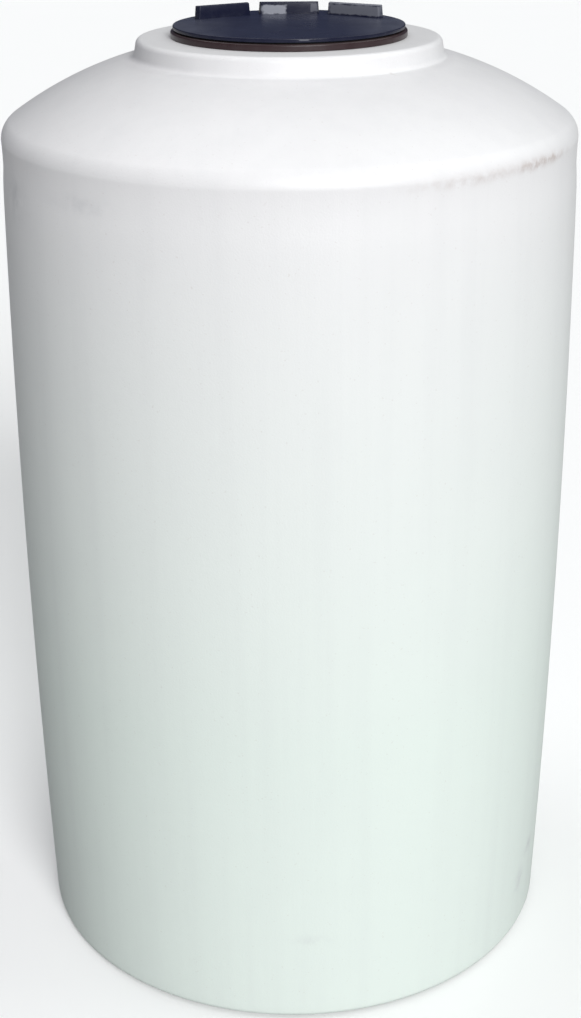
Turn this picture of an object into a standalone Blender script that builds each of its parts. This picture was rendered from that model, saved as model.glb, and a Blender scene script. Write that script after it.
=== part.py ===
"""A vertical polyethylene storage tank: a slightly barrelled round wall on a flat floor, a shallow domed roof,
a raised flat boss in its middle, and a black manway ring with a lid that unscrews and lifts off.

Metres, +Z up. The origin is at the middle of the flat underside. The three grip lugs on the lid are at +Y,
so the front of the tank faces -Y.
"""

import math

import bmesh
import bpy
from mathutils import Matrix, Vector

# Driving dimensions
FIT_GAP = 0.0003            # clearance left between pieces that rest on or against each other
PLASTIC_THICKNESS = 0.006   # moulded wall of the tank

WALL_END_RADIUS = 0.389     # outer radius of the wall at its foot and at its top
BARREL_RISE = 0.0083        # how far the wall swells outwards halfway up
WALL_TOP = 1.1973           # height where the wall turns into the shoulder
BASE_CORNER = 0.012         # outer radius of the corner between wall and floor

SHOULDER_CORNER = 0.031     # outer radius of the corner between wall and roof
SHOULDER_SLOPE = math.radians(34.6)   # slope of the roof where it leaves the shoulder
NECK_SLOPE = math.radians(14.4)       # slope of the roof where it meets the boss

BOSS_RADIUS = 0.2069        # outer radius of the raised boss at its foot
BOSS_HEIGHT = 0.0224        # the boss's flat top above the roof at its foot
BOSS_DRAFT = 0.0023         # how much narrower the boss is at its top than at its foot
BOSS_EDGE = 0.008           # rounding of the boss's top edge
BOSS_FILLET = 0.008         # hollow rounding at the boss's foot
BOSS_HOLE = 0.1375          # radius of the manway hole in the boss

RING_RADIUS = 0.1578        # manway ring's flange
RING_HEIGHT = 0.0085
RING_EDGE = 0.0022          # rounded lip of the flange
COLLAR_THICKNESS = 0.0092   # the ring's collar, which goes down through the hole
COLLAR_DEPTH = 0.030        # below the boss's top

GASKET_RADIUS = 0.1512
GASKET_INNER_RADIUS = 0.1305
GASKET_THICKNESS = 0.0012

LID_RADIUS = 0.1546
LID_THICKNESS = 0.0050      # at its rim
LID_EDGE = 0.0012           # rounding of the lid's rim
LID_CROWN = 0.0040          # how much higher the lid's middle is than its rim
SKIRT_RADIUS = 0.1230       # the lid's threaded skirt, which turns inside the ring's collar
SKIRT_THICKNESS = 0.004
SKIRT_DEPTH = 0.026         # below the lid's underside

LUG_COUNT = 3               # grip lugs, side by side on an arc at the back of the lid
LUG_SPREAD = math.radians(30.6)       # turn of the arc from one lug to the next
LUG_ARC = 0.170             # radius of the arc that the lugs' inner faces lie along
LUG_FACE = 0.077            # the middle lug's inner face, from the tank's axis
LUG_LENGTH = 0.079          # inner face of a lug at its foot
LUG_END_FLARE = 0.0025      # how much further each end reaches along the outer face
LUG_END_DRAFT = 0.0014      # how far each end leans in from foot to top
LUG_FACE_DRAFT = 0.0006
LUG_HEIGHT = 0.0184         # above the lid's rim
LUG_THICKNESS = 0.010
LUG_EDGE = 0.0012
LUG_SINK = 0.0010           # how far below the top of the lid's rim a lug's foot reaches into the lid

SEGMENTS = 12               # pieces that the round wall and the roof are each divided into
SEGMENT_STEPS = 6           # flat facets across one piece
RING_STEPS = SEGMENTS * SEGMENT_STEPS
WALL_LEVELS = 8             # rows of facets up the barrelled wall
ROOF_LEVELS = 6             # rows of facets down the domed roof
CORNER_STEPS = 4            # facets round a moulded corner
CROWN_LEVELS = 5            # rows of facets from the lid's rim to its middle

FULL_TURN = 2 * math.pi
PITCH = FULL_TURN / SEGMENTS


# Materials
def plastic(name, colour, roughness):
    """A plain moulded plastic or rubber."""
    material = bpy.data.materials.new(name)
    material.use_nodes = True
    shader = material.node_tree.nodes["Principled BSDF"]
    shader.inputs["Base Color"].default_value = (*colour, 1.0)
    shader.inputs["Roughness"].default_value = roughness
    shader.inputs["Metallic"].default_value = 0.0
    return material


# Outlines are lists of (radius, height) points
def arc(centre, radius, start_deg, end_deg, steps):
    """Points of an arc about a centre, from one angle to another."""
    points = []
    for step in range(steps + 1):
        angle = math.radians(start_deg + (end_deg - start_deg) * step / steps)
        points.append((centre[0] + radius * math.cos(angle), centre[1] + radius * math.sin(angle)))
    return points


def wall_radius(height):
    """Outer radius of the wall, which swells in a parabola between its foot and its top."""
    share = (height - BASE_CORNER) / (WALL_TOP - BASE_CORNER)
    return WALL_END_RADIUS + BARREL_RISE * 4 * share * (1 - share)


def wall_outline():
    """One wall piece: the rounded corner at its foot, then the barrelled wall, outside and inside."""
    centre = (WALL_END_RADIUS - BASE_CORNER, BASE_CORNER)
    outer_foot = arc(centre, BASE_CORNER, -90, 0, CORNER_STEPS)
    inner_foot = arc(centre, BASE_CORNER - PLASTIC_THICKNESS, 0, -90, CORNER_STEPS)
    heights = [BASE_CORNER + (WALL_TOP - BASE_CORNER) * n / WALL_LEVELS for n in range(1, WALL_LEVELS + 1)]
    outer = [(wall_radius(z), z) for z in heights]
    inner = [(wall_radius(z) - PLASTIC_THICKNESS, z) for z in reversed(heights)]
    return outer_foot + outer + inner + inner_foot


def roof_slopes():
    """The slopes at the rows of facets, from the top of the wall to the boss."""
    upright = math.pi / 2
    corner = [upright + (SHOULDER_SLOPE - upright) * n / CORNER_STEPS for n in range(CORNER_STEPS)]
    dome = [SHOULDER_SLOPE + (NECK_SLOPE - SHOULDER_SLOPE) * n / ROOF_LEVELS for n in range(ROOF_LEVELS + 1)]
    return corner + dome


def roof_point(slope, inset=0.0):
    """The point of the roof with that slope: on the shoulder's arc first, then on the dome's."""
    corner_centre = (WALL_END_RADIUS - SHOULDER_CORNER, WALL_TOP + FIT_GAP)
    if slope >= SHOULDER_SLOPE:
        reach, centre = SHOULDER_CORNER, corner_centre
    else:
        start = corner_centre[0] + SHOULDER_CORNER * math.sin(SHOULDER_SLOPE)
        reach = (start - BOSS_RADIUS) / (math.sin(SHOULDER_SLOPE) - math.sin(NECK_SLOPE))
        along = reach - SHOULDER_CORNER
        centre = (
            corner_centre[0] - along * math.sin(SHOULDER_SLOPE),
            corner_centre[1] - along * math.cos(SHOULDER_SLOPE),
        )
    radius = reach - inset
    return centre[0] + radius * math.sin(slope), centre[1] + radius * math.cos(slope)


def roof_outline():
    """One roof piece: the rounded shoulder and the shallow dome, outside and inside, down to the boss."""
    slopes = roof_slopes()[:-1]
    outer = [roof_point(slope) for slope in slopes]
    inner = [roof_point(slope, PLASTIC_THICKNESS) for slope in slopes]
    edge = BOSS_RADIUS + BOSS_FILLET + FIT_GAP
    last_outer = roof_at_radius(edge)
    last_inner = roof_at_radius(edge, PLASTIC_THICKNESS)
    return outer + [last_outer, last_inner] + inner[::-1]


def roof_at_radius(radius, inset=0.0):
    """The point of the dome at a radius, found by halving between its two end slopes."""
    low, high = NECK_SLOPE - math.radians(5), SHOULDER_SLOPE
    for _ in range(40):
        middle = (low + high) / 2
        if roof_point(middle, inset)[0] < radius:
            low = middle
        else:
            high = middle
    return roof_point(low, inset)


def boss_outline():
    """The raised boss: hollow fillet at its foot, leaning side, rounded edge and flat top with its hole."""
    foot = roof_at_radius(BOSS_RADIUS + BOSS_FILLET)
    top = BOSS_TOP
    side_top = BOSS_RADIUS - BOSS_DRAFT
    thick = PLASTIC_THICKNESS
    outer = arc((foot[0], foot[1] + BOSS_FILLET), BOSS_FILLET, -90, -180, CORNER_STEPS)
    outer += arc((side_top - BOSS_EDGE, top - BOSS_EDGE), BOSS_EDGE, 0, 90, CORNER_STEPS)
    outer.append((BOSS_HOLE, top))
    inner_foot = (foot[0], foot[1] - thick)
    inner_edge = (side_top - thick, top - thick)
    return outer + [(BOSS_HOLE, top - thick), inner_edge, (BOSS_RADIUS - thick, inner_foot[1]), inner_foot]


def ring_outline():
    """The manway ring: a flange with a rounded lip on the boss, and a collar down through the hole."""
    base = RING_BASE
    lip = (RING_RADIUS - RING_EDGE, base + RING_HEIGHT - RING_EDGE)
    bore = COLLAR_RADIUS - COLLAR_THICKNESS
    return [(COLLAR_RADIUS, BOSS_TOP - COLLAR_DEPTH), (COLLAR_RADIUS, base), (RING_RADIUS, base)] + arc(
        lip, RING_EDGE, 0, 90, CORNER_STEPS
    ) + [(bore, base + RING_HEIGHT), (bore, BOSS_TOP - COLLAR_DEPTH)]


def gasket_outline():
    """A flat rubber ring between the manway ring and the lid."""
    top = GASKET_BASE + GASKET_THICKNESS
    return [
        (GASKET_INNER_RADIUS, GASKET_BASE),
        (GASKET_RADIUS, GASKET_BASE),
        (GASKET_RADIUS, top),
        (GASKET_INNER_RADIUS, top),
    ]


def crowned(radius, height):
    """Points of a slightly crowned disc, from its edge to the axis."""
    shares = [1 - level / CROWN_LEVELS for level in range(CROWN_LEVELS + 1)]
    return [(radius * share, height + LID_CROWN * (1 - share**2)) for share in shares]


def lid_outline():
    """The lid: a crowned plate with a rounded rim, and a skirt beneath it. It starts and ends on the axis."""
    skirt_foot = LID_BASE - SKIRT_DEPTH
    inner = SKIRT_RADIUS - SKIRT_THICKNESS
    under = crowned(inner, LID_BASE)[::-1] + [(inner, skirt_foot), (SKIRT_RADIUS, skirt_foot)]
    flat_rim = [(SKIRT_RADIUS, LID_BASE), (LID_RADIUS, LID_BASE)]
    rounding = arc((LID_RADIUS - LID_EDGE, LID_TOP - LID_EDGE), LID_EDGE, 0, 90, 2)
    return under + flat_rim + rounding[:-1] + crowned(LID_RADIUS - LID_EDGE, LID_TOP)


# Heights that follow from the sizes above
BOSS_TOP = roof_at_radius(BOSS_RADIUS)[1] + BOSS_HEIGHT
RING_BASE = BOSS_TOP + FIT_GAP
COLLAR_RADIUS = BOSS_HOLE - FIT_GAP
GASKET_BASE = RING_BASE + RING_HEIGHT + FIT_GAP
LID_BASE = GASKET_BASE + GASKET_THICKNESS + FIT_GAP
LID_TOP = LID_BASE + LID_THICKNESS


# Solids
def finish_mesh(bm, name, material, sharp_deg=30.0):
    """Makes a named object of a bmesh, with its faces pointing out and its round sides smooth."""
    bmesh.ops.remove_doubles(bm, verts=bm.verts, dist=1e-6)
    bmesh.ops.recalc_face_normals(bm, faces=bm.faces)
    mesh = bpy.data.meshes.new(name)
    bm.to_mesh(mesh)
    bm.free()
    mesh.materials.append(material)
    mesh.shade_smooth()
    mesh.set_sharp_from_angle(angle=math.radians(sharp_deg))
    obj = bpy.data.objects.new(name, mesh)
    bpy.context.scene.collection.objects.link(obj)
    return obj


def turned(name, outline, material, parent):
    """A full turn of an outline about the axis. An outline may start and end on the axis."""
    bm = bmesh.new()
    points = [bm.verts.new((r, 0.0, z)) for r, z in outline]
    on_axis = outline[0][0] == 0.0 and outline[-1][0] == 0.0
    edges = [bm.edges.new(pair) for pair in zip(points, points[1:])]
    if not on_axis:
        edges.append(bm.edges.new((points[-1], points[0])))
    bmesh.ops.spin(
        bm, geom=points + edges, cent=(0, 0, 0), axis=(0, 0, 1), angle=FULL_TURN, steps=RING_STEPS, use_merge=True
    )
    obj = finish_mesh(bm, name, material)
    obj.parent = parent
    return obj


def turned_piece(name, outline, seam_radius, material, parent, index):
    """One of SEGMENTS equal pieces of a turned wall. The first is centred on +X, and half a seam, measured at
    seam_radius, is left at each side."""
    half_seam = FIT_GAP / 2 / seam_radius
    bm = bmesh.new()
    points = [bm.verts.new((r, 0.0, z)) for r, z in outline]
    face = bm.faces.new(points)
    bmesh.ops.spin(
        bm,
        geom=[face],
        cent=(0, 0, 0),
        axis=(0, 0, 1),
        angle=PITCH - 2 * half_seam,
        steps=SEGMENT_STEPS,
    )
    start = Matrix.Rotation((index - 0.5) * PITCH + half_seam, 4, "Z")
    bmesh.ops.transform(bm, matrix=start, verts=bm.verts)
    obj = finish_mesh(bm, name, material)
    obj.parent = parent
    return obj


def tank_floor(material, parent):
    """The flat bottom, inside the rounded corner of the wall."""
    radius = WALL_END_RADIUS - BASE_CORNER - FIT_GAP
    outline = [(0.0, 0.0), (radius, 0.0), (radius, PLASTIC_THICKNESS), (0.0, PLASTIC_THICKNESS)]
    return turned("tank_floor", outline, material, parent)


def grip_lug(name, turn):
    """A straight block, a little longer along its outer face, that narrows towards its top. It is built as the
    middle lug, facing the front of the tank, and then turned about the middle of the lugs' arc."""
    low, high = LID_TOP - LUG_SINK, LID_TOP + LUG_HEIGHT
    bm = bmesh.new()
    levels = []
    for end_draft, face_draft, height in ((0.0, 0.0, low), (LUG_END_DRAFT, LUG_FACE_DRAFT, high)):
        inner = LUG_LENGTH / 2 - end_draft
        outer = inner + LUG_END_FLARE
        near, far = LUG_ARC + face_draft, LUG_ARC + LUG_THICKNESS - face_draft
        corners = [(-inner, near), (inner, near), (outer, far), (-outer, far)]
        levels.append([bm.verts.new((x, y, height)) for x, y in corners])
    foot, top = levels
    bm.faces.new(foot)
    bm.faces.new(top)
    for n in range(4):
        bm.faces.new((foot[n], foot[(n + 1) % 4], top[(n + 1) % 4], top[n]))
    bmesh.ops.recalc_face_normals(bm, faces=bm.faces)
    top_edges = [e for e in bm.edges if any(v in top for v in e.verts)]
    bmesh.ops.bevel(bm, geom=top_edges, offset=LUG_EDGE, segments=2, affect="EDGES", profile=0.5)
    place = Matrix.Translation(Vector((0.0, LUG_FACE - LUG_ARC, 0.0))) @ Matrix.Rotation(turn, 4, "Z")
    bmesh.ops.transform(bm, matrix=place, verts=bm.verts)
    lug = finish_mesh(bm, name, bpy.data.materials["lid_plastic"])
    lug.hide_render = True
    lug.display_type = "WIRE"
    return lug


def manway_lid(material, parent):
    """The lid with its grip lugs, which are moulded in one piece with it."""
    lid = turned("manway_lid", lid_outline(), material, parent)
    for number in range(LUG_COUNT):
        name = f"lug_guide_{number + 1}"
        union = lid.modifiers.new(name, "BOOLEAN")
        union.operation = "UNION"
        union.solver = "EXACT"
        union.object = grip_lug(name, LUG_SPREAD * ((LUG_COUNT - 1) / 2 - number))
    return lid


def main():
    for obj in list(bpy.data.objects):
        bpy.data.objects.remove(obj)
    tank_plastic = plastic("tank_plastic", (0.80, 0.80, 0.78), 0.45)
    lid_plastic = plastic("lid_plastic", (0.022, 0.024, 0.040), 0.38)
    ring_plastic = plastic("ring_plastic", (0.030, 0.024, 0.026), 0.42)
    rubber = plastic("gasket_rubber", (0.012, 0.012, 0.013), 0.75)

    tank = bpy.data.objects.new("tank", None)
    lid_axis = bpy.data.objects.new("lid_axis", None)
    for empty in (tank, lid_axis):
        bpy.context.scene.collection.objects.link(empty)

    tank_floor(tank_plastic, tank)
    for index in range(SEGMENTS):
        number = f"{index + 1:02d}"
        turned_piece(f"wall_segment_{number}", wall_outline(), WALL_END_RADIUS, tank_plastic, tank, index)
        turned_piece(f"roof_segment_{number}", roof_outline(), BOSS_RADIUS, tank_plastic, tank, index)
    turned("manway_boss", boss_outline(), tank_plastic, tank)
    turned("manway_ring", ring_outline(), ring_plastic, tank)
    turned("lid_gasket", gasket_outline(), rubber, lid_axis)
    manway_lid(lid_plastic, lid_axis)


main()
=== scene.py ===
"""A vertical polyethylene storage tank, put together from the ground up: the moulded shell, the manway ring on its
boss, the ring's gasket and the screw lid with its grip lugs, then the floor, the light and the camera.

Metres, +Z up, on the tank's own axis. The front faces -Y and the lid's lugs are at +Y.
"""

import math

import bmesh
import bpy
from mathutils import Matrix, Vector


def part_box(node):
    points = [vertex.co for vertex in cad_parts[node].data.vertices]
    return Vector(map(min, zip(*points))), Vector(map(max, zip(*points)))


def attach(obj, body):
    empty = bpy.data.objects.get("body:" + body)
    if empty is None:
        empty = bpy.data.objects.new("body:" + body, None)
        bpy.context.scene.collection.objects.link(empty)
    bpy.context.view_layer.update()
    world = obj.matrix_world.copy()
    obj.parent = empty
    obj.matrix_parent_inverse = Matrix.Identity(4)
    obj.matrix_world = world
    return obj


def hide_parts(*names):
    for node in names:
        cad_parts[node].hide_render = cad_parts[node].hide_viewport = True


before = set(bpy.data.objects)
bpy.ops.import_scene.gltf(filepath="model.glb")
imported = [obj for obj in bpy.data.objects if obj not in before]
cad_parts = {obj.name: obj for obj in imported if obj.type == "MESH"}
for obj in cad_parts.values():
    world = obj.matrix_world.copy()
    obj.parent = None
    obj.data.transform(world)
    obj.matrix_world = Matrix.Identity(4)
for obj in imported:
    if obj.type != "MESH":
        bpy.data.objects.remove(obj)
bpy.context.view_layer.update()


# Moulded shell
# The tank itself is one rotationally moulded polyethylene body: flat floor, slightly barrelled wall, rounded shoulder,
# shallow dome and a raised boss. It is cast in one piece, so it has no seams, and it has a fine orange peel all over
# and the scuffs of handling. It stands on its floor by its own weight.
wall_low, wall_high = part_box("wall_segment_01")
roof_low, roof_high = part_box("roof_segment_01")
boss_low, boss_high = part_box("manway_boss")
ring_low, ring_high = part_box("manway_ring")

SHELL_THICKNESS = 0.006
SHELL_STEPS = 240
BARREL_RISE = 0.0083
END_RADIUS = wall_high.x - BARREL_RISE
BASE_CORNER = 0.012
WALL_TOP = wall_high.z
SHOULDER_CORNER = 0.031
SHOULDER_SLOPE = math.radians(34.6)
NECK_SLOPE = math.radians(14.4)
SINK_DEPTH = 0.0016         # the wall shrinks in slightly below the shoulder
SINK_HALF_WIDTH = 0.022
SINK_BELOW_TOP = 0.028
BOSS_RADIUS = 0.2069
BOSS_DRAFT = 0.0023
BOSS_EDGE = 0.008
BOSS_FILLET = boss_high.x - BOSS_RADIUS
BOSS_TOP = boss_high.z
BOSS_HOLE = 0.1375


def arc(centre, radius, start, end, steps):
    """(radius, height) points of an arc, with both its ends."""
    turns = [start + (end - start) * step / steps for step in range(steps + 1)]
    return [(centre[0] + radius * math.cos(turn), centre[1] + radius * math.sin(turn)) for turn in turns]


def wall_point(height):
    """The outside of the wall: a shallow parabola with a slight sink just below the shoulder."""
    share = (height - BASE_CORNER) / (WALL_TOP - BASE_CORNER)
    sink = SINK_DEPTH * math.exp(-(((WALL_TOP - SINK_BELOW_TOP - height) / SINK_HALF_WIDTH) ** 2))
    return END_RADIUS + BARREL_RISE * 4 * share * (1 - share) - sink, height


def dome_arc(steps):
    """The shoulder's arc and the dome's, which meet without a corner."""
    corner = (END_RADIUS - SHOULDER_CORNER, roof_low.z)
    start = corner[0] + SHOULDER_CORNER * math.sin(SHOULDER_SLOPE)
    reach = (start - BOSS_RADIUS) / (math.sin(SHOULDER_SLOPE) - math.sin(NECK_SLOPE))
    shift = reach - SHOULDER_CORNER
    centre = (corner[0] - shift * math.sin(SHOULDER_SLOPE), corner[1] - shift * math.cos(SHOULDER_SLOPE))
    shoulder = arc(corner, SHOULDER_CORNER, 0.0, math.pi / 2 - SHOULDER_SLOPE, steps // 2)
    dome = arc(centre, reach, math.pi / 2 - SHOULDER_SLOPE, math.pi / 2 - NECK_SLOPE, steps)
    return shoulder + [point for point in dome[1:] if point[0] > BOSS_RADIUS + BOSS_FILLET]


def shell_outline():
    """The outside of the shell, from the middle of the floor to the hole in the boss."""
    outline = [(0.0, 0.0)] + [(END_RADIUS * share, 0.0) for share in (0.25, 0.5, 0.75, 0.9)]
    outline += arc((END_RADIUS - BASE_CORNER, BASE_CORNER), BASE_CORNER, -math.pi / 2, 0.0, 8)
    rows = 72
    outline += [wall_point(BASE_CORNER + (WALL_TOP - BASE_CORNER) * row / rows) for row in range(1, rows + 1)]
    outline += dome_arc(28)[1:]
    foot = (BOSS_RADIUS + BOSS_FILLET * math.cos(NECK_SLOPE), outline[-1][1] + BOSS_FILLET)
    outline += arc(foot, BOSS_FILLET, -math.pi / 2 - NECK_SLOPE, -math.pi, 8)
    side = BOSS_RADIUS - BOSS_DRAFT
    outline += arc((side - BOSS_EDGE, BOSS_TOP - BOSS_EDGE), BOSS_EDGE, 0.0, math.pi / 2, 10)
    outline += [(BOSS_HOLE * share, BOSS_TOP) for share in (1.3, 1.15, 1.0)]
    return outline


def inset_outline(outline, depth):
    """The same outline moved inwards along its own normals, for the inside of a moulded wall."""
    inner = []
    for before, here, after in zip(outline[:1] + outline, outline, outline[1:] + outline[-1:]):
        run, rise = after[0] - before[0], after[1] - before[1]
        length = math.hypot(run, rise)
        inner.append((max(here[0] - rise / length * depth, 0.0), here[1] + run / length * depth))
    return inner


def smooth_moulding(mesh):
    """Shades a mesh as a moulding: smooth, but for its real corners."""
    mesh.shade_smooth()
    mesh.set_sharp_from_angle(angle=math.radians(40))


def turn_outline(name, outline, steps):
    """A closed solid of revolution. The outline may start and end on the axis."""
    bm = bmesh.new()
    points = [bm.verts.new((radius, 0.0, height)) for radius, height in outline]
    edges = [bm.edges.new(pair) for pair in zip(points, points[1:])]
    if outline[0][0] > 0.0 or outline[-1][0] > 0.0:
        edges.append(bm.edges.new((points[-1], points[0])))
    bmesh.ops.spin(bm, geom=points + edges, cent=(0, 0, 0), axis=(0, 0, 1), angle=math.tau, steps=steps, use_merge=True)
    bmesh.ops.remove_doubles(bm, verts=bm.verts, dist=1e-6)
    bmesh.ops.recalc_face_normals(bm, faces=bm.faces)
    mesh = bpy.data.meshes.new(name)
    bm.to_mesh(mesh)
    bm.free()
    smooth_moulding(mesh)
    piece = bpy.data.objects.new(name, mesh)
    bpy.context.scene.collection.objects.link(piece)
    return piece


def add_node(tree, kind, inputs, output=0, **settings):
    """Adds a node. An input is a plain value or another node's output. Gives back one of the node's outputs."""
    node = tree.nodes.new(kind)
    for name, value in settings.items():
        setattr(node, name, value)
    for socket, value in inputs.items():
        if isinstance(value, bpy.types.NodeSocket):
            tree.links.new(value, node.inputs[socket])
        else:
            node.inputs[socket].default_value = value
    return node.outputs[output]


def add_math(tree, operation, *values):
    """A Math node."""
    return add_node(tree, "ShaderNodeMath", dict(enumerate(values)), operation=operation)


def add_vector_math(tree, operation, *values):
    """A Vector Math node."""
    return add_node(tree, "ShaderNodeVectorMath", dict(enumerate(values)), operation=operation)


def add_noise(tree, place, scale, detail, roughness=0.5):
    """A Noise Texture's value at a place."""
    inputs = {"Vector": place, "Scale": scale, "Detail": detail, "Roughness": roughness}
    return add_node(tree, "ShaderNodeTexNoise", inputs, "Fac")


def map_range(tree, value, low, high, to_low=0.0, to_high=1.0):
    """Maps a stretch of values onto another one, held at its ends."""
    inputs = {"Value": value, "From Min": low, "From Max": high, "To Min": to_low, "To Max": to_high}
    return add_node(tree, "ShaderNodeMapRange", inputs, "Result")


def mix_colour(tree, share, first, second):
    """Mixes two colours, each a triple or another node's output."""
    first, second = [(*colour, 1.0) if isinstance(colour, tuple) else colour for colour in (first, second)]
    return add_node(tree, "ShaderNodeMix", {0: share, 6: first, 7: second}, 2, data_type="RGBA")


def start_group(name, inputs, outputs):
    """An empty shader node group with its inputs' values. Gives back the group, its inputs and its outputs."""
    group = bpy.data.node_groups.new(name, "ShaderNodeTree")
    for socket, value in inputs.items():
        kind = "NodeSocketFloat" if isinstance(value, float) else "NodeSocketVector"
        group.interface.new_socket(socket, in_out="INPUT", socket_type=kind).default_value = value
    for socket in outputs:
        group.interface.new_socket(socket, in_out="OUTPUT", socket_type="NodeSocketFloat")
    return group, group.nodes.new("NodeGroupInput").outputs, group.nodes.new("NodeGroupOutput").inputs


def place_group(tree, group, **values):
    """Puts a node group in a material with its own values; an underscore in a name stands for a space."""
    node = tree.nodes.new("ShaderNodeGroup")
    node.node_tree = group
    for name, value in values.items():
        node.inputs[name.replace("_", " ")].default_value = value
    return node.outputs


def build_moulded_grain():
    """Grain of a moulded plastic: a fine orange peel and a slow waviness as a height, a cloudy mask and flecks."""
    inputs = {"Peel scale": 420.0, "Wave scale": 7.0, "Wave share": 0.6, "Cloud scale": 5.0, "Fleck scale": 260.0}
    group, given, made = start_group("moulded grain", inputs, ("Height", "Cloud", "Fleck"))
    place = add_node(group, "ShaderNodeTexCoord", {}, "Object")
    peel = add_noise(group, place, given["Peel scale"], 3.0, 0.55)
    wave = add_noise(group, place, given["Wave scale"], 2.0, 0.4)
    height = add_math(group, "ADD", peel, add_math(group, "MULTIPLY", wave, given["Wave share"]))
    fleck = map_range(group, add_noise(group, place, given["Fleck scale"], 2.0), 0.68, 0.76)
    group.links.new(height, made["Height"])
    group.links.new(add_noise(group, place, given["Cloud scale"], 5.0, 0.62), made["Cloud"])
    group.links.new(fleck, made["Fleck"])
    return group


def build_upward_dust_and_sheen():
    """A patchy mask on what looks up, thicker in some places than in others: where dust lies on the tank and the ring,
    and where the lid's painted sheen lies.
    """
    group, given, made = start_group("upward dust and sheen", {"Patch scale": 30.0, "Steepness": 0.9}, ("Mask",))
    place = add_node(group, "ShaderNodeTexCoord", {}, "Object").node.outputs
    up = add_node(group, "ShaderNodeSeparateXYZ", {"Vector": place["Normal"]}, "Z")
    flat = map_range(group, up, given["Steepness"], 1.0)
    patchy = map_range(group, add_noise(group, place["Object"], given["Patch scale"], 6.0, 0.65), 0.3, 0.7, 0.55, 1.0)
    group.links.new(add_math(group, "MULTIPLY", flat, patchy), made["Mask"])
    return group


def build_wall_smudge():
    """A soft, broken-up patch on a round wall, at an azimuth from the front (radians, to the right) and a height."""
    inputs = {"Azimuth": 0.0, "Height": 0.5, "Half azimuth": 0.2, "Half height": 0.05, "Slope": 0.0, "Break-up": 30.0}
    group, given, made = start_group("wall smudge", inputs, ("Mask",))
    place = add_node(group, "ShaderNodeTexCoord", {}, "Object")
    parts = add_node(group, "ShaderNodeSeparateXYZ", {"Vector": place}).node.outputs
    front = add_math(group, "MULTIPLY", parts["Y"], -1.0)
    turn = add_math(group, "SUBTRACT", add_math(group, "ARCTAN2", parts["X"], front), given["Azimuth"])
    across = add_math(group, "DIVIDE", turn, given["Half azimuth"])
    centre = add_math(group, "ADD", given["Height"], add_math(group, "MULTIPLY", turn, given["Slope"]))
    along = add_math(group, "DIVIDE", add_math(group, "SUBTRACT", parts["Z"], centre), given["Half height"])
    across_squared, along_squared = [add_math(group, "MULTIPLY", value, value) for value in (across, along)]
    square = add_math(group, "ADD", across_squared, along_squared)
    fade = add_math(group, "EXPONENT", add_math(group, "MULTIPLY", square, -1.0))
    broken = map_range(group, add_noise(group, place, given["Break-up"], 5.0, 0.6), 0.32, 0.68, 0.0, 2.0)
    group.links.new(add_math(group, "MULTIPLY", fade, broken), made["Mask"])
    return group


def new_material(name):
    """A material with its node tree and its shader."""
    material = bpy.data.materials.new(name)
    material.use_nodes = True
    return material, material.node_tree, material.node_tree.nodes["Principled BSDF"]


def finish_surface(tree, shader, colour, roughness, height, bump_strength, bump_distance):
    """Feeds the shader its colour, its roughness and a height for its bump."""
    inputs = {"Height": height, "Strength": bump_strength, "Distance": bump_distance}
    bump = add_node(tree, "ShaderNodeBump", inputs, "Normal")
    for output, socket in ((colour, "Base Color"), (roughness, "Roughness"), (bump, "Normal")):
        tree.links.new(output, shader.inputs[socket])


moulded_grain = build_moulded_grain()
upward_dust_and_sheen = build_upward_dust_and_sheen()
wall_smudge = build_wall_smudge()

NATURAL_WHITE_HIGH = (0.752, 0.748, 0.755)
NATURAL_WHITE_LOW = (0.683, 0.757, 0.712)
HANDLING_BROWN = (0.36, 0.27, 0.23)
SCUFF_GREY = (0.45, 0.46, 0.48)
ROOF_DUST = (0.58, 0.57, 0.585)
WALL_MARKS = [                # azimuth, height, half azimuth, half height, slope, break-up, colour, strength
    (0.93, 1.2000, 0.15, 0.0060, 0.003, 90.0, HANDLING_BROWN, 0.40),
    (0.60, 1.1975, 0.20, 0.0070, 0.010, 70.0, HANDLING_BROWN, 0.18),
    (-1.14, 1.1430, 0.10, 0.0220, 0.0, 34.0, SCUFF_GREY, 0.30),
    (-0.73, 1.1625, 0.12, 0.0100, 0.0, 40.0, SCUFF_GREY, 0.20),
    (1.17, 0.1330, 0.04, 0.0120, 0.0, 60.0, SCUFF_GREY, 0.35),
    (1.08, 0.0900, 0.04, 0.0180, 0.0, 60.0, SCUFF_GREY, 0.30),
    (0.06, 0.1410, 0.06, 0.0080, 0.0, 60.0, SCUFF_GREY, 0.16),
    (0.643, 1.2975, 0.010, 0.0009, 0.0, 20.0, HANDLING_BROWN, 0.60),
]


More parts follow.
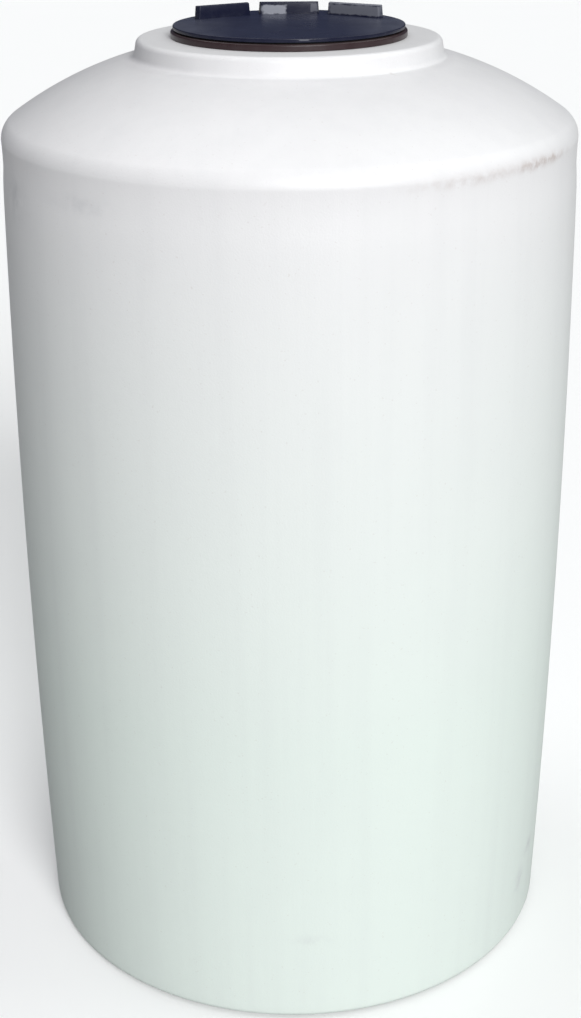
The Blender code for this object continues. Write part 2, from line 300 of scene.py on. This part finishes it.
def build_tank_polyethylene():
    """Off-white polyethylene: slightly green lower down and cool above, faint upright streaks, scuffs and dust."""
    material, tree, shader = new_material("tank polyethylene")
    grain = place_group(tree, moulded_grain, Peel_scale=420.0, Wave_scale=6.0, Wave_share=2.5, Cloud_scale=4.0)
    place = add_node(tree, "ShaderNodeTexCoord", {}, "Object")
    height = add_node(tree, "ShaderNodeSeparateXYZ", {"Vector": place}, "Z")
    colour = mix_colour(tree, map_range(tree, height, 0.45, WALL_TOP), NATURAL_WHITE_LOW, NATURAL_WHITE_HIGH)
    stretched = add_vector_math(tree, "MULTIPLY", place, (1.0, 1.0, 0.03))
    streaks = map_range(tree, add_noise(tree, stretched, 26.0, 5.0, 0.6), 0.45, 0.8, 0.0, 0.10)
    colour = mix_colour(tree, streaks, colour, SCUFF_GREY)
    colour = mix_colour(tree, map_range(tree, grain["Cloud"], 0.3, 0.75, 0.0, 0.08), colour, SCUFF_GREY)
    dust_and_sheen = place_group(tree, upward_dust_and_sheen, Patch_scale=24.0, Steepness=0.78)["Mask"]
    above_boss_foot = map_range(tree, height, roof_high.z, roof_high.z + 0.004, 0.42, 0.06)
    colour = mix_colour(tree, add_math(tree, "MULTIPLY", dust_and_sheen, above_boss_foot), colour, ROOF_DUST)
    for azimuth, level, half_turn, half_height, slope, broken, tint, strength in WALL_MARKS:
        mark = place_group(
            tree, wall_smudge, Azimuth=azimuth, Height=level, Half_azimuth=half_turn, Half_height=half_height,
            Slope=slope, **{"Break-up": broken},
        )["Mask"]
        colour = mix_colour(tree, add_math(tree, "MULTIPLY", mark, strength), colour, tint)
    colour = mix_colour(tree, add_math(tree, "MULTIPLY", grain["Fleck"], 0.15), colour, HANDLING_BROWN)
    shader.inputs["IOR"].default_value = 1.51
    roughness = map_range(tree, grain["Cloud"], 0.3, 0.7, 0.40, 0.52)
    finish_surface(tree, shader, colour, roughness, grain["Height"], 0.5, 0.0004)
    return material


outside = shell_outline()
inside = inset_outline(outside, SHELL_THICKNESS)
tank_shell = turn_outline("tank_shell", outside + inside[::-1], SHELL_STEPS)
tank_shell.data.materials.append(build_tank_polyethylene())
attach(tank_shell, "tank")
shell_nodes = [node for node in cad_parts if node.startswith(("wall_segment", "roof_segment"))]
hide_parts("tank_floor", "manway_boss", *shell_nodes)


# Manway ring
# A brown-black moulded flange that lies on the boss, with a rounded lip round its top and a collar that goes down
# through the hole. A round thread runs down the collar's bore, and the lid screws into it.
RING_BASE = BOSS_TOP + 0.0003
RING_TOP = ring_high.z
RING_RADIUS = ring_high.x
RING_LIP = 0.0022
RING_FOOT_EDGE = 0.0008
COLLAR_RADIUS = 0.1371
COLLAR_BORE = 0.1280
COLLAR_FOOT = ring_low.z
THREAD_PITCH = 0.006
BORE_RIDGE = 0.0019
RING_BLACK = (0.030, 0.016, 0.018)
RING_WORN = (0.085, 0.068, 0.068)


def build_rubbed_edge():
    """Wear along outward edges, broken up as by handling."""
    group, given, made = start_group("rubbed edge", {"From": 0.51, "To": 0.56, "Break-up": 60.0}, ("Mask",))
    bend = add_node(group, "ShaderNodeNewGeometry", {}, "Pointiness")
    place = add_node(group, "ShaderNodeTexCoord", {}, "Object")
    broken = map_range(group, add_noise(group, place, given["Break-up"], 4.0), 0.35, 0.65)
    group.links.new(add_math(group, "MULTIPLY", map_range(group, bend, given["From"], given["To"]), broken), made["Mask"])
    return group


rubbed_edge = build_rubbed_edge()


def build_ring_plastic():
    """Brown-black plastic with fine grain, a faint cloud, a little dust and a worn, slightly lighter lip."""
    material, tree, shader = new_material("ring plastic")
    grain = place_group(tree, moulded_grain, Peel_scale=650.0, Wave_scale=24.0, Wave_share=0.8, Cloud_scale=22.0)
    worn = place_group(tree, rubbed_edge, From=0.505, To=0.53, **{"Break-up": 70.0})["Mask"]
    colour = mix_colour(tree, add_math(tree, "MULTIPLY", worn, 0.4), RING_BLACK, RING_WORN)
    dust_and_sheen = place_group(tree, upward_dust_and_sheen, Patch_scale=60.0, Steepness=0.8)["Mask"]
    colour = mix_colour(tree, add_math(tree, "MULTIPLY", dust_and_sheen, 0.3), colour, RING_WORN)
    shader.inputs["IOR"].default_value = 1.46
    shader.inputs["Specular IOR Level"].default_value = 0.35
    roughness = map_range(tree, grain["Cloud"], 0.3, 0.7, 0.26, 0.38)
    finish_surface(tree, shader, colour, roughness, grain["Height"], 0.4, 0.00025)
    return material


def start_shape_tree(name, inputs):
    """An empty Geometry Nodes tree: named inputs after the piece's own mesh. Gives back the tree, the inputs' sockets
    on a modifier, their outputs inside, and the tree's own output."""
    tree = bpy.data.node_groups.new(name, "GeometryNodeTree")
    tree.interface.new_socket("Piece", in_out="INPUT", socket_type="NodeSocketGeometry")
    sockets = {
        socket: tree.interface.new_socket(socket, in_out="INPUT", socket_type=kind)
        for socket, kind in inputs.items()
    }
    tree.interface.new_socket("Shape", in_out="OUTPUT", socket_type="NodeSocketGeometry")
    return tree, sockets, tree.nodes.new("NodeGroupInput").outputs, tree.nodes.new("NodeGroupOutput").inputs


def end_shape_tree(tree, shape, finish, made):
    """Ends a tree: real geometry in one material."""
    real = add_node(tree, "GeometryNodeRealizeInstances", {"Geometry": shape})
    tree.links.new(add_node(tree, "GeometryNodeSetMaterial", {"Geometry": real, "Material": finish}), made["Shape"])


def build_round_thread():
    """Adds a round ridge that climbs round the axis and thins out at both ends."""
    kinds = dict.fromkeys(("Radius", "Ridge", "Pitch", "Turns", "Foot"), "NodeSocketFloat")
    tree, sockets, given, made = start_shape_tree("round thread", kinds | {"Finish": "NodeSocketMaterial"})
    spiral_inputs = {
        "Resolution": 120,
        "Rotations": given["Turns"],
        "Start Radius": given["Radius"],
        "End Radius": given["Radius"],
        "Height": add_math(tree, "MULTIPLY", given["Pitch"], given["Turns"]),
    }
    spiral = add_node(tree, "GeometryNodeCurveSpiral", spiral_inputs)
    lift = add_node(tree, "ShaderNodeCombineXYZ", {"Z": given["Foot"]})
    climbing = add_node(tree, "GeometryNodeTransform", {"Geometry": spiral, "Translation": lift})
    along = add_node(tree, "GeometryNodeSplineParameter", {}, "Factor")
    from_end = add_math(tree, "MINIMUM", along, add_math(tree, "SUBTRACT", 1.0, along))
    taper = map_range(tree, from_end, 0.0, 0.05, 0.2, 1.0)
    thinned = add_node(tree, "GeometryNodeSetCurveRadius", {"Curve": climbing, "Radius": taper})
    profile = add_node(tree, "GeometryNodeCurvePrimitiveCircle", {"Resolution": 12, "Radius": given["Ridge"]})
    ridge_inputs = {"Curve": thinned, "Profile Curve": profile, "Fill Caps": True}
    both = add_node(
        tree, "GeometryNodeJoinGeometry", {"Geometry": add_node(tree, "GeometryNodeCurveToMesh", ridge_inputs)},
    )
    tree.links.new(given["Piece"], both.node.inputs["Geometry"])
    end_shape_tree(tree, both, given["Finish"], made)
    return tree, sockets


def shape_piece(piece, tree_and_sockets, **values):
    """Runs a Geometry Nodes tree on a piece with its own values and keeps the result as the piece's plain mesh."""
    tree, sockets = tree_and_sockets
    modifier = piece.modifiers.new(tree.name, "NODES")
    modifier.node_group = tree
    for name, value in values.items():
        modifier[sockets[name].identifier] = value
    bpy.context.view_layer.update()
    depsgraph = bpy.context.evaluated_depsgraph_get()
    shape = bpy.data.meshes.new_from_object(piece.evaluated_get(depsgraph), depsgraph=depsgraph)
    piece.modifiers.remove(modifier)
    piece.data = shape
    smooth_moulding(shape)


round_thread = build_round_thread()
ring_plastic = build_ring_plastic()
ring_outline = [(COLLAR_RADIUS, COLLAR_FOOT), (COLLAR_RADIUS, RING_BASE), (RING_RADIUS - RING_FOOT_EDGE / 2, RING_BASE)]
ring_outline += arc((RING_RADIUS - RING_FOOT_EDGE, RING_BASE + RING_FOOT_EDGE), RING_FOOT_EDGE, -math.pi / 4, 0.0, 3)
ring_outline += arc((RING_RADIUS - RING_LIP, RING_TOP - RING_LIP), RING_LIP, 0.0, math.pi / 2, 10)
ring_outline += [(COLLAR_BORE + 0.001, RING_TOP), (COLLAR_BORE, RING_TOP - 0.001), (COLLAR_BORE, COLLAR_FOOT)]
manway_ring = turn_outline("ring_moulding", ring_outline, 192)
manway_ring.data.materials.append(ring_plastic)
shape_piece(
    manway_ring, round_thread,
    Radius=COLLAR_BORE, Ridge=BORE_RIDGE, Pitch=THREAD_PITCH, Turns=4.0, Foot=COLLAR_FOOT + 0.006, Finish=ring_plastic,
)
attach(manway_ring, "tank")
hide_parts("manway_ring")


# Gasket
# A flat ring of black rubber that lies on the ring's seat. Tightening the lid squeezes it, so its edges are rounded
# and it lies a little back from the rim of the plate.
gasket_low, gasket_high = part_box("lid_gasket")

GASKET_BORE = 0.1306
GASKET_BLACK = (0.012, 0.012, 0.013)
GASKET_BLOOM = (0.035, 0.034, 0.033)


def build_gasket_rubber():
    """Dull black rubber with a fine, dusty bloom."""
    material, tree, shader = new_material("gasket rubber")
    grain = place_group(tree, moulded_grain, Peel_scale=900.0, Wave_scale=60.0, Wave_share=0.3, Cloud_scale=60.0)
    bloom = map_range(tree, grain["Cloud"], 0.45, 0.8, 0.0, 0.5)
    colour = mix_colour(tree, bloom, GASKET_BLACK, GASKET_BLOOM)
    roughness = map_range(tree, grain["Cloud"], 0.3, 0.7, 0.70, 0.85)
    finish_surface(tree, shader, colour, roughness, grain["Height"], 0.4, 0.0002)
    return material


gasket_half = (gasket_high.z - gasket_low.z) / 2
gasket_level = gasket_low.z + gasket_half
gasket_outline = arc((gasket_high.x - gasket_half, gasket_level), gasket_half, -math.pi / 2, math.pi / 2, 6)
gasket_outline += arc((GASKET_BORE + gasket_half, gasket_level), gasket_half, math.pi / 2, math.pi * 1.5, 6)
gasket_ring = turn_outline("gasket_ring", gasket_outline, 192)
gasket_ring.data.materials.append(build_gasket_rubber())
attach(gasket_ring, "gasket")
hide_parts("lid_gasket")


# Screw lid
# A blue-black injection moulding: a slightly crowned plate with a rounded rim, a threaded skirt below it and three
# drafted grip lugs behind its middle, all in one piece. A bar laid against the lugs turns it. It screws into the
# ring's collar.
lid_low, lid_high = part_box("manway_lid")

LID_RADIUS = lid_high.x
LID_BASE = gasket_high.z + 0.0003
LID_TOP = LID_BASE + 0.0050
LID_RIM = 0.0012
LID_CROWN = 0.0040          # how much higher the lid's middle is than its rim
LID_FOOT_EDGE = 0.0009
SKIRT_RADIUS = 0.1230
SKIRT_BORE = 0.1190
SKIRT_EDGE = 0.002
SKIRT_FOOT = lid_low.z
SKIRT_RIDGE = 0.0019
LUG_TOP = lid_high.z
LUG_LENGTH = 0.079
LUG_THICKNESS = 0.010
LUG_END_FLARE = 0.0025      # how much further each end reaches along the outer face
LUG_END_DRAFT = 0.0014
LUG_FACE_DRAFT = 0.0006
LUG_CORNER = 0.0012
LUG_FACE = 0.077            # the middle lug's inner face, from the lid's middle
LUG_ARC = 0.170             # the lugs stand on an arc that is wider than the lid's own circle
LUG_SPREAD = math.radians(30.6)
LUG_ROOT = 0.0008           # how far below the rim's top a lug reaches into the plate
LID_NAVY = (0.008, 0.0095, 0.026)
LID_PALE_WEAR_AND_SHEEN = (0.27, 0.28, 0.32)
LID_TOP_SHEEN = (0.045, 0.055, 0.115)
# Painted reflections: the first four patches lighten the middle lug's face, the right lug's face and the right lug's
# top; the last is a small pale patch on the rim's front.
LID_PALE_PATCHES = [                # middle, reach each way, strength: two on the middle lug, two on the right one, the rim
    ((-0.0205, LUG_FACE, LUG_TOP - 0.0095), (0.0175, 0.0050, 0.0065), 0.95),
    ((0.0350, LUG_FACE, LUG_TOP - 0.0070), (0.0060, 0.0050, 0.0060), 0.30),
    ((0.0900, 0.0580, LUG_TOP - 0.0080), (0.0430, 0.0340, 0.0070), 0.42),
    ((0.0900, 0.0580, LUG_TOP), (0.0430, 0.0340, 0.0014), 0.60),
    ((0.0185, -0.1535, LID_BASE + 0.0030), (0.0075, 0.0050, 0.0009), 0.35),
]


def build_ragged_patch():
    """A patch with a ragged rim round a place on the piece, with its own reach along each axis."""
    inputs = {"Middle": (0.0, 0.0, 0.0), "Reach": (0.01, 0.01, 0.01), "Rim": 0.3, "Break-up": 120.0}
    group, given, made = start_group("ragged patch", inputs, ("Mask",))
    place = add_node(group, "ShaderNodeTexCoord", {}, "Object")
    away = add_vector_math(group, "ABSOLUTE", add_vector_math(group, "SUBTRACT", place, given["Middle"]))
    share = add_vector_math(group, "DIVIDE", away, given["Reach"])
    x, y, z = add_node(group, "ShaderNodeSeparateXYZ", {"Vector": share}).node.outputs
    farthest = add_math(group, "MAXIMUM", add_math(group, "MAXIMUM", x, y), z)
    noise = add_noise(group, place, given["Break-up"], 5.0, 0.6)
    ragged = add_math(group, "ADD", farthest, map_range(group, noise, 0.3, 0.7, -0.2, 0.2))
    inner = add_math(group, "SUBTRACT", 1.0, given["Rim"])
    group.links.new(map_range(group, ragged, inner, 1.0, 1.0, 0.0), made["Mask"])
    return group


ragged_patch = build_ragged_patch()


def build_lid_plastic():
    """Blue-black plastic: fine grain, rubbed edges, a painted sheen that makes the top lighter and bluer and paler
    towards its left and right ends, painted reflections as pale patches on the lugs, and a small pale patch on the rim.
    """
    material, tree, shader = new_material("lid plastic")
    grain = place_group(tree, moulded_grain, Peel_scale=700.0, Wave_scale=20.0, Wave_share=0.7, Cloud_scale=18.0)
    worn = place_group(tree, rubbed_edge, From=0.51, To=0.56, **{"Break-up": 60.0})["Mask"]
    colour = mix_colour(tree, add_math(tree, "MULTIPLY", worn, 0.12), LID_NAVY, LID_PALE_WEAR_AND_SHEEN)
    # Painted sheen: what looks up on the lid is made lighter and bluer, standing in for the reflection of the surround.
    dust_and_sheen = place_group(tree, upward_dust_and_sheen, Patch_scale=30.0, Steepness=0.9)["Mask"]
    colour = mix_colour(tree, add_math(tree, "MULTIPLY", dust_and_sheen, 0.30), colour, LID_TOP_SHEEN)
    place = add_node(tree, "ShaderNodeTexCoord", {}, "Object")
    # Painted reflection: the top is made paler towards its left and right ends.
    sideways = add_math(tree, "ABSOLUTE", add_node(tree, "ShaderNodeSeparateXYZ", {"Vector": place}, "X"))
    end_reflection_share = map_range(tree, sideways, 0.07, LID_RADIUS, 0.0, 0.32)
    colour = mix_colour(tree, add_math(tree, "MULTIPLY", dust_and_sheen, end_reflection_share), colour, LID_PALE_WEAR_AND_SHEEN)
    roughness = map_range(tree, grain["Cloud"], 0.3, 0.7, 0.24, 0.36)
    # Painted reflections on the lugs, and a small pale patch on the rim, each a little rougher.
    for middle, reach, strength in LID_PALE_PATCHES:
        patch = place_group(
            tree, ragged_patch, Middle=middle, Reach=reach, Rim=0.25, **{"Break-up": 150.0},
        )["Mask"]
        colour = mix_colour(tree, add_math(tree, "MULTIPLY", patch, strength), colour, LID_PALE_WEAR_AND_SHEEN)
        roughness = add_math(tree, "ADD", roughness, add_math(tree, "MULTIPLY", patch, 0.25 * strength))
    shader.inputs["IOR"].default_value = 1.46
    shader.inputs["Specular IOR Level"].default_value = 0.28
    finish_surface(tree, shader, colour, roughness, grain["Height"], 0.35, 0.0003)
    return material


def crowned(radius, height, steps):
    """Points of a slightly crowned disc, from its edge to the axis."""
    shares = [1 - step / steps for step in range(steps + 1)]
    return [(radius * share, height + LID_CROWN * (1 - share**2)) for share in shares]


lid_outline = crowned(SKIRT_BORE - SKIRT_EDGE, LID_BASE, 12)[::-1]
lid_outline += arc((SKIRT_BORE - SKIRT_EDGE, LID_BASE - SKIRT_EDGE), SKIRT_EDGE, math.pi / 2, 0.0, 4)
lid_outline += arc(((SKIRT_BORE + SKIRT_RADIUS) / 2, SKIRT_FOOT + SKIRT_EDGE), SKIRT_EDGE, math.pi, math.tau, 6)
lid_outline += [(SKIRT_RADIUS, LID_BASE)]
lid_outline += arc((LID_RADIUS - LID_FOOT_EDGE, LID_BASE + LID_FOOT_EDGE), LID_FOOT_EDGE, -math.pi / 2, 0.0, 4)
lid_outline += arc((LID_RADIUS - LID_RIM, LID_TOP - LID_RIM), LID_RIM, 0.0, math.pi / 2, 6)
lid_outline += crowned(LID_RADIUS - LID_RIM, LID_TOP, 16)[1:]


def lug_loop(half_length, half_width, corner, height):
    """Points round a lug at one height, anticlockwise. It is a little longer along its outer face."""
    loop = []
    for quarter, (side_x, side_y) in enumerate(((1, 1), (-1, 1), (-1, -1), (1, -1))):
        for step in range(6):
            turn = math.pi / 2 * (quarter + step / 5)
            x = side_x * (half_length - corner) + corner * math.cos(turn)
            y = side_y * (half_width - corner) + corner * math.sin(turn)
            flare = 1 + LUG_END_FLARE / half_length * (y / half_width + 1) / 2
            loop.append((x * flare, LUG_ARC + LUG_THICKNESS / 2 + y, height))
    return loop


def build_grip_lug(name):
    """One lug, upright and lengthways along X, with its inner face on the middle of the lugs' arc."""
    high = LUG_TOP - LID_TOP
    quarter_turns = [math.pi / 2 * step / 4 for step in range(5)]
    levels = [(0.0, -LUG_ROOT), (0.0, 0.0), (0.0, high * 0.5)]
    levels += [
        (-LUG_CORNER * (1 - math.cos(turn)), high - LUG_CORNER * (1 - math.sin(turn))) for turn in quarter_turns
    ]
    bm = bmesh.new()
    loops = []
    for spread, height in levels:
        lean = max(height, 0.0) / high
        half_length = LUG_LENGTH / 2 - LUG_END_DRAFT * lean + spread
        half_width = LUG_THICKNESS / 2 - LUG_FACE_DRAFT * lean + spread
        points = lug_loop(half_length, half_width, max(LUG_CORNER + spread, 0.0003), LID_TOP + height)
        loops.append([bm.verts.new(point) for point in points])
    for lower, upper in zip(loops, loops[1:]):
        for n in range(len(lower)):
            bm.faces.new((lower[n], lower[n - 1], upper[n - 1], upper[n]))
    bm.faces.new(loops[0])
    bm.faces.new(loops[-1])
    bmesh.ops.remove_doubles(bm, verts=bm.verts, dist=1e-6)
    bmesh.ops.recalc_face_normals(bm, faces=bm.faces)
    mesh = bpy.data.meshes.new(name)
    bm.to_mesh(mesh)
    bm.free()
    lug = bpy.data.objects.new(name, mesh)
    bpy.context.scene.collection.objects.link(lug)
    return lug


def build_turned_copies():
    """Copies of a piece turned about an upright axis, evenly spread to both sides."""
    kinds = {
        "Count": "NodeSocketInt",
        "Spread": "NodeSocketFloat",
        "Pivot": "NodeSocketVector",
        "Finish": "NodeSocketMaterial",
    }
    tree, sockets, given, made = start_shape_tree("turned copies", kinds)
    points = add_node(tree, "GeometryNodePoints", {"Count": given["Count"], "Position": given["Pivot"]})
    half = add_math(tree, "MULTIPLY", add_math(tree, "SUBTRACT", given["Count"], 1.0), 0.5)
    from_middle = add_math(tree, "SUBTRACT", add_node(tree, "GeometryNodeInputIndex", {}), half)
    turn = add_node(tree, "ShaderNodeCombineXYZ", {"Z": add_math(tree, "MULTIPLY", from_middle, given["Spread"])})
    copy_inputs = {"Points": points, "Instance": given["Piece"], "Rotation": turn}
    end_shape_tree(tree, add_node(tree, "GeometryNodeInstanceOnPoints", copy_inputs), given["Finish"], made)
    return tree, sockets


lid_plastic = build_lid_plastic()
lid_plate = turn_outline("lid_plate", lid_outline, 192)
lid_plate.data.materials.append(lid_plastic)
shape_piece(
    lid_plate, round_thread,
    Radius=SKIRT_RADIUS, Ridge=SKIRT_RIDGE, Pitch=THREAD_PITCH, Turns=3.0, Foot=SKIRT_FOOT + 0.004, Finish=lid_plastic,
)
grip_lugs = build_grip_lug("grip_lugs")
shape_piece(
    grip_lugs, build_turned_copies(),
    Count=3, Spread=LUG_SPREAD, Pivot=(0.0, LUG_FACE - LUG_ARC, 0.0), Finish=lid_plastic,
)
for piece in (lid_plate, grip_lugs):
    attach(piece, "lid")
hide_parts("manway_lid")


# Floor
# A plain pale studio floor. It looks nearly white, and throws back a little under half of the light on it.
FLOOR_HALF = 40.0
FLOOR_DROP = 0.0005
FLOOR_BOUNCE = (0.435, 0.435, 0.435)
FLOOR_SEEN = (0.96, 0.96, 0.96)
floor_mesh = bpy.data.meshes.new("studio_floor")
floor_corners = [(x, y, -FLOOR_DROP) for x, y in ((-1, -1), (1, -1), (1, 1), (-1, 1))]
floor_mesh.from_pydata([(x * FLOOR_HALF, y * FLOOR_HALF, z) for x, y, z in floor_corners], [], [(0, 1, 2, 3)])
studio_floor = bpy.data.objects.new("studio_floor", floor_mesh)
bpy.context.scene.collection.objects.link(studio_floor)
floor_material, floor_tree, floor_shader = new_material("studio floor")
floor_seen = add_node(floor_tree, "ShaderNodeLightPath", {}, "Is Camera Ray")
floor_tree.links.new(mix_colour(floor_tree, floor_seen, FLOOR_BOUNCE, FLOOR_SEEN), floor_shader.inputs["Base Color"])
floor_shader.inputs["Roughness"].default_value = 0.9
floor_shader.inputs["Specular IOR Level"].default_value = 0.0
floor_mesh.materials.append(floor_material)


# Light
# A broad key from the front and a little to the right, two weaker lights from above and behind, and a faint
# surround that is dimmer and bluer near the horizon. The camera itself sees the surround as a pale wall.
SURROUND_HIGH = (0.110, 0.112, 0.115)
SURROUND_LOW = (0.028, 0.036, 0.072)
SURROUND_SEEN = (0.93, 0.93, 0.93)
world = bpy.data.worlds.new("studio")
bpy.context.scene.world = world
world.use_nodes = True
world_tree = world.node_tree
way_out = add_node(world_tree, "ShaderNodeTexCoord", {}, "Generated")
elevation = add_node(world_tree, "ShaderNodeSeparateXYZ", {"Vector": way_out}, "Z")
surround = mix_colour(world_tree, map_range(world_tree, elevation, 0.1, 0.5), SURROUND_LOW, SURROUND_HIGH)
seen = add_node(world_tree, "ShaderNodeLightPath", {}, "Is Camera Ray")
world_tree.links.new(
    mix_colour(world_tree, seen, surround, SURROUND_SEEN), world_tree.nodes["Background"].inputs["Color"]
)


def add_soft_light(name, azimuth, elevation, strength, width, colour):
    """A far, broad light aimed at the tank. Azimuth 0 is in front of it and positive to the right, in degrees."""
    light = bpy.data.lights.new(name, "SUN")
    light.energy = strength
    light.angle = math.radians(width)
    light.color = colour
    lamp = bpy.data.objects.new(name, light)
    bpy.context.scene.collection.objects.link(lamp)
    turn, lift = math.radians(azimuth), math.radians(elevation)
    way = Vector((math.sin(turn) * math.cos(lift), -math.cos(turn) * math.cos(lift), math.sin(lift)))
    lamp.matrix_world = Matrix.Translation(way * 6.0) @ way.to_track_quat("Z", "Y").to_matrix().to_4x4()


add_soft_light("key", 17.0, 25.0, 3.33, 30.0, (1.0, 1.0, 1.0))
add_soft_light("back_left", -130.0, 65.0, 0.92, 50.0, (0.98, 0.98, 1.0))
add_soft_light("side_right", 108.0, 50.0, 0.80, 50.0, (0.95, 1.0, 0.97))


# Camera
# It looks down on the tank from the eye level of a person who stands in front of it.
CAMERA_DISTANCE = 2.2685
CAMERA_HEIGHT = 1.6129
CAMERA_PITCH = math.radians(24.275)
CAMERA_ROLL = -0.00645
IMAGE_HEIGHT = 1018         # pixels
FOCAL_PIXELS = 1641.3
AIM_RIGHT = 1.75            # pixels, from the image's middle to the point that the camera looks at
AIM_DOWN = 27.46
camera_data = bpy.data.cameras.new("camera")
camera_data.sensor_width = 36.0
camera_data.lens = FOCAL_PIXELS / IMAGE_HEIGHT * camera_data.sensor_width
camera_data.shift_x = -AIM_RIGHT / IMAGE_HEIGHT
camera_data.shift_y = AIM_DOWN / IMAGE_HEIGHT
camera = bpy.data.objects.new("camera", camera_data)
bpy.context.scene.collection.objects.link(camera)
camera.matrix_world = (
    Matrix.Translation((0.0, -CAMERA_DISTANCE, CAMERA_HEIGHT))
    @ Matrix.Rotation(math.pi / 2 - CAMERA_PITCH, 4, "X")
    @ Matrix.Rotation(CAMERA_ROLL, 4, "Z")
)
bpy.context.scene.camera = camera
bpy.context.scene.view_settings.view_transform = "Standard"
